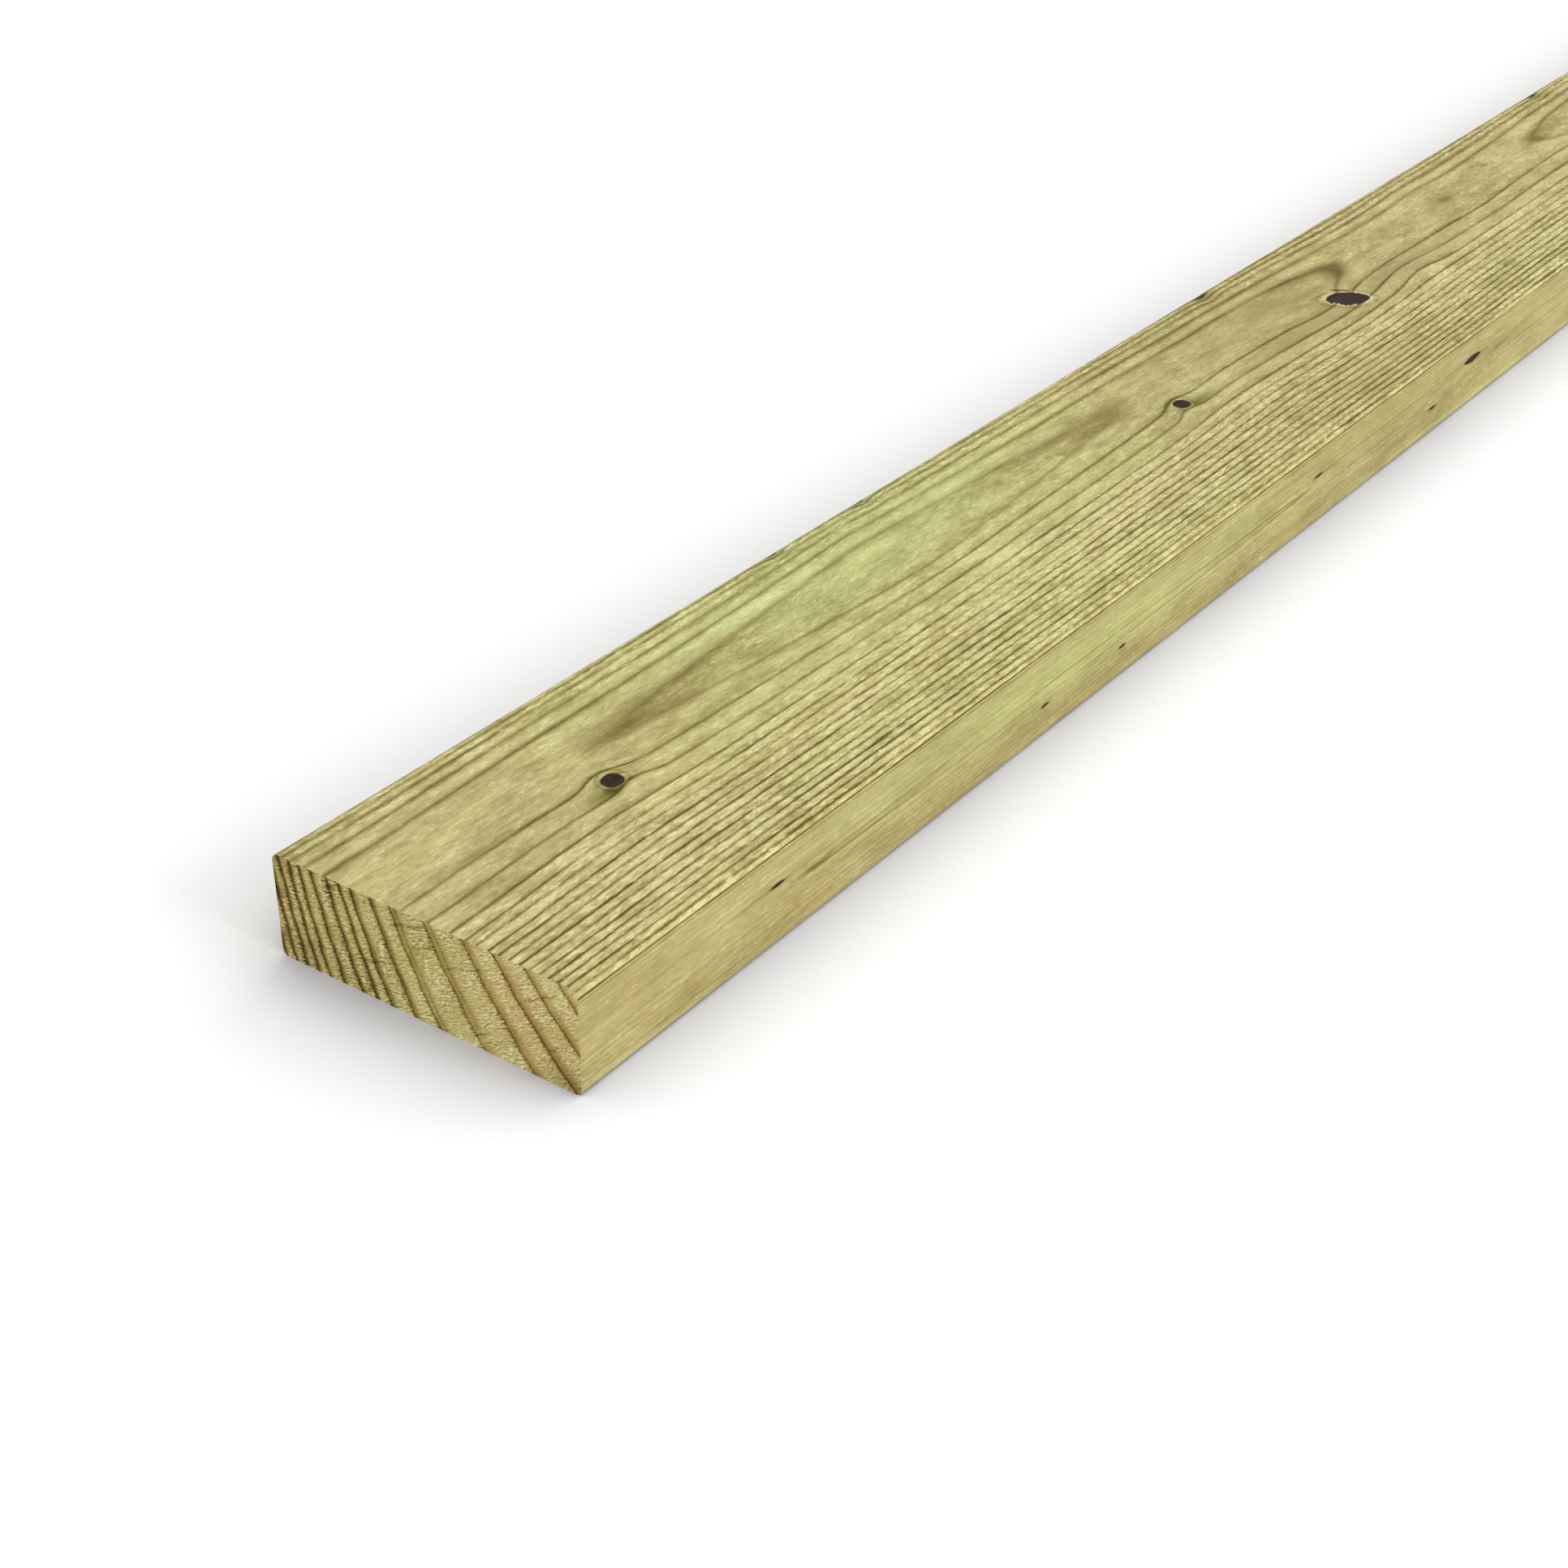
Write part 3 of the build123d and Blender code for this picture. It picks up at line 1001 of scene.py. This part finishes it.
def sawnMaterial():
    finish = sawnFinish
    material, shader = startMaterial("treated_softwood_sawn")
    place = readField("grainPlace")
    count, lineSpan, strength = partsOf(readField("growthRing"))
    fromBack, _, checkShade = partsOf(readField("knotAndCheckField"))
    slope = partsOf(readField("scaleField"))[2]
    green, stain, _ = partsOf(readField("tintField"))

    def pattern(name, spot=place):
        return speckle(spot, *finish["patterns"][name])

    sway = times(centred(pattern("ragged")), times(slope, finish["lineSway"]))
    phase = ringPhase(calc("ADD", count, sway))
    core = bellOf(phase, lineSpan)
    # the smooth late wood lies on the bark side of each line and fades into the next early wood
    late = times(remap(phase, -0.02, 0.03), remap(phase, 0.42, 0.18))
    early = calc("SUBTRACT", 1, late)

    # torn fibre, with painted light and shade: one side of each tuft is painted paler, the other darker
    fuzz, cells, saw = [pattern(name) for name in ("fuzz", "cells", "saw")]
    lit = pattern("fuzz", slid(place, finish["paintedLightSide"]))
    relief = times(calc("SUBTRACT", lit, fuzz), finish["paintedTuftShading"])
    relief = addTimes(remap(fuzz, 0.52, 0.66), finish["paleTufts"], relief)
    relief = addTimes(remap(fuzz, 0.45, 0.33), -finish["darkTufts"], relief)
    relief = addTimes(centred(cells), finish["cells"], relief)
    relief = addTimes(remap(saw, 0.4, 0.28), -finish["sawDark"], relief)
    relief = addTimes(remap(saw, 0.58, 0.7), finish["sawPale"], relief)
    relief = times(relief, remap(pattern("torn"), 0.35, 0.65, *finish["tornPatches"]))
    tone = addTimes(centred(pattern("cloud")), finish["clouds"], finish["baseTone"])
    # the tufts' own tones and their painted light and shade go into the colour here
    tone = addTimes(relief, remap(late, 0, 1, *finish["tuftToneAndShade"]), tone)

    # rings, painted shade in the checks, and the darker back
    tone = addTimes(late, remap(green, 0, 1, *finish["lateTone"]), tone)
    glow = bellOf(phase, times(lineSpan, finish["glowSpread"]))
    tone = addTimes(times(glow, strength), -finish["glowDepth"], tone)
    tone = addTimes(times(core, strength), -finish["lineDepth"], tone)
    after, halfWidth, depth = finish["secondLine"]
    second = bellOf(calc("SUBTRACT", phase, after), halfWidth)
    for fade in finish["secondFade"]:
        second = times(second, remap(fromBack, *fade))
    tone = addTimes(second, -depth, tone)
    tone = calc("ADD", tone, remap(fromBack, 20, 85, finish["backTone"], 0.0))
    tone = addTimes(green, -finish["greenTone"], tone)
    # painted shade inside the checks
    tone = addTimes(checkShade, -finish["checkShadeTone"], tone)

    colour = toneRamp(tone, finish["tones"])
    tan = times(late, remap(green, 0, 0.5, *finish["latewoodAmount"]))
    colour = blend(tan, colour, finish["latewood"], "MULTIPLY")
    colour = blend(green, colour, finish["green"], "MULTIPLY")
    stainEdge = times(stain, remap(fuzz, 0.3, 0.7, 0.6, 1.2), clamp=True)
    colour = blend(stainEdge, colour, finish["stain"], "MULTIPLY")
    heights = finish["heights"]
    height = addTimes(times(fuzz, early), heights["early"], times(late, heights["late"]))
    height = addTimes(times(cells, early), heights["cells"], height)
    height = addTimes(core, heights["lines"], height)
    dressShader(shader, finish, colour, finish["roughness"], height)
    return material


piece = makeTimber()
piece.data.materials.append(planedMaterial())
piece.data.materials.append(sawnMaterial())
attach(piece, "root")
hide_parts("rafter")
print("timber finished")


# sizes of the studio are in metres
studio = {
    "floorSize": 60.0,
    "floorColour": 0.8,
    "floorSeen": 1.2,  # what the camera sees, so that the floor turns white outside the shadow
    "paintedShadowReach": 0.25,
    "paintedShadowDepth": 0.62,
    "paintedShadowLean": (0.106, -0.29, 0.951),  # the side the painted soft shadow falls away from
    "paintedShadowTint": (0.84, 0.875, 1.12, 1),  # a painted tint that takes the timber's own glow out of the shadow
    "glowInFront": (0.85, 1.7),  # how strong that glow is at the ends and before the front
    "glowBehind": (1.0, 0.2),
    "frontBlend": (0.02, -0.01),  # where it changes, from the front and from the back
    "backBlend": (-0.02, 0.02),
    "skyLight": 0.84,
    "lampWatts": 42.0,
    "lampSize": 1.5,
    "lampPlace": (-1.2, -3.56, 1.82),
    "lampTarget": (-1.0, 0.0, 0.0),
}


def seenRays():  # one for what the camera, a reflection or a see-through piece looks at
    rays = addNode("LightPath").outputs
    seen = calc("MAXIMUM", rays["Is Camera Ray"], rays["Is Glossy Ray"])
    return calc("MAXIMUM", seen, rays["Is Transmission Ray"])


def makeFloor():
    half = studio["floorSize"] / 2
    z = low[2]
    mesh = bpy.data.meshes.new("studio_floor")
    corners = [(-half, -half, z), (half, -half, z), (half, half, z), (-half, half, z)]
    mesh.from_pydata(corners, [], [(0, 1, 2, 3)])
    floor = bpy.data.objects.new("studio_floor", mesh)
    bpy.context.scene.collection.objects.link(floor)
    material = bpy.data.materials.new("studio_floor")
    material.use_nodes = True
    workIn(material.node_tree)
    tree.nodes.clear()
    # painted shadow: ambient occlusion round the timber, leaning to one side, darkens the floor's colour on
    # top of its real shadow
    lean = addNode("CombineXYZ", *studio["paintedShadowLean"]).outputs[0]
    shadowProbe = addNode("AmbientOcclusion", samples=4)
    setInputs(shadowProbe, {"Normal": lean, "Distance": studio["paintedShadowReach"]})
    openness = shadowProbe.outputs["AO"]
    shadowedFloor = times(calc("POWER", openness, studio["paintedShadowDepth"]), studio["floorSeen"])

    y = partsOf(addNode("NewGeometry").outputs["Position"])[1]
    front = [low[1] + step for step in studio["frontBlend"]]
    back = [high[1] + step for step in studio["backBlend"]]
    glow = remap(y, *front, *studio["glowInFront"])
    glow = times(glow, remap(y, *back, *studio["glowBehind"]))
    glow = times(calc("SUBTRACT", 1, openness), glow, clamp=True)
    shadowTint = blend(glow, (1, 1, 1, 1), studio["paintedShadowTint"])
    shadowTint = blend(1.0, shadowTint, shadowedFloor, "MULTIPLY")
    grey = studio["floorColour"]
    shade = blend(seenRays(), (grey, grey, grey, 1), shadowTint)
    addNode("OutputMaterial", addNode("BsdfDiffuse", shade).outputs[0])
    mesh.materials.append(material)


def makeLight():
    world = bpy.data.worlds.new("studio_sky")
    bpy.context.scene.world = world
    world.use_nodes = True
    workIn(world.node_tree)
    background = next(n for n in tree.nodes if n.type == "BACKGROUND")
    strength = remap(seenRays(), 0, 1, studio["skyLight"], 1.0, smooth=False)
    setInputs(background, {"Color": (1, 1, 1, 1), "Strength": strength})
    lamp = bpy.data.lights.new("studio_softbox", "AREA")
    lamp.energy = studio["lampWatts"]
    lamp.size = studio["lampSize"]
    softbox = bpy.data.objects.new("studio_softbox", lamp)
    softbox.location = studio["lampPlace"]
    aim = Vector(studio["lampTarget"]) - softbox.location
    softbox.rotation_euler = aim.to_track_quat("-Z", "Y").to_euler()
    bpy.context.scene.collection.objects.link(softbox)


view = {
    "place": (-2.0230, -0.5411, 0.5535),
    "direction": (0.6887, 0.5038, -0.5214),
    "lens": 59.0,
    "sensor": 36.0,
}


def makeCamera():
    data = bpy.data.cameras.new("camera")
    data.lens = view["lens"]
    data.sensor_width = view["sensor"]
    camera = bpy.data.objects.new("camera", data)
    camera.location = view["place"]
    camera.rotation_euler = Vector(view["direction"]).to_track_quat("-Z", "Y").to_euler()
    bpy.context.scene.collection.objects.link(camera)
    bpy.context.scene.camera = camera


makeFloor()
makeLight()
makeCamera()
bpy.context.scene.view_settings.view_transform = "Standard"
print("studio set")
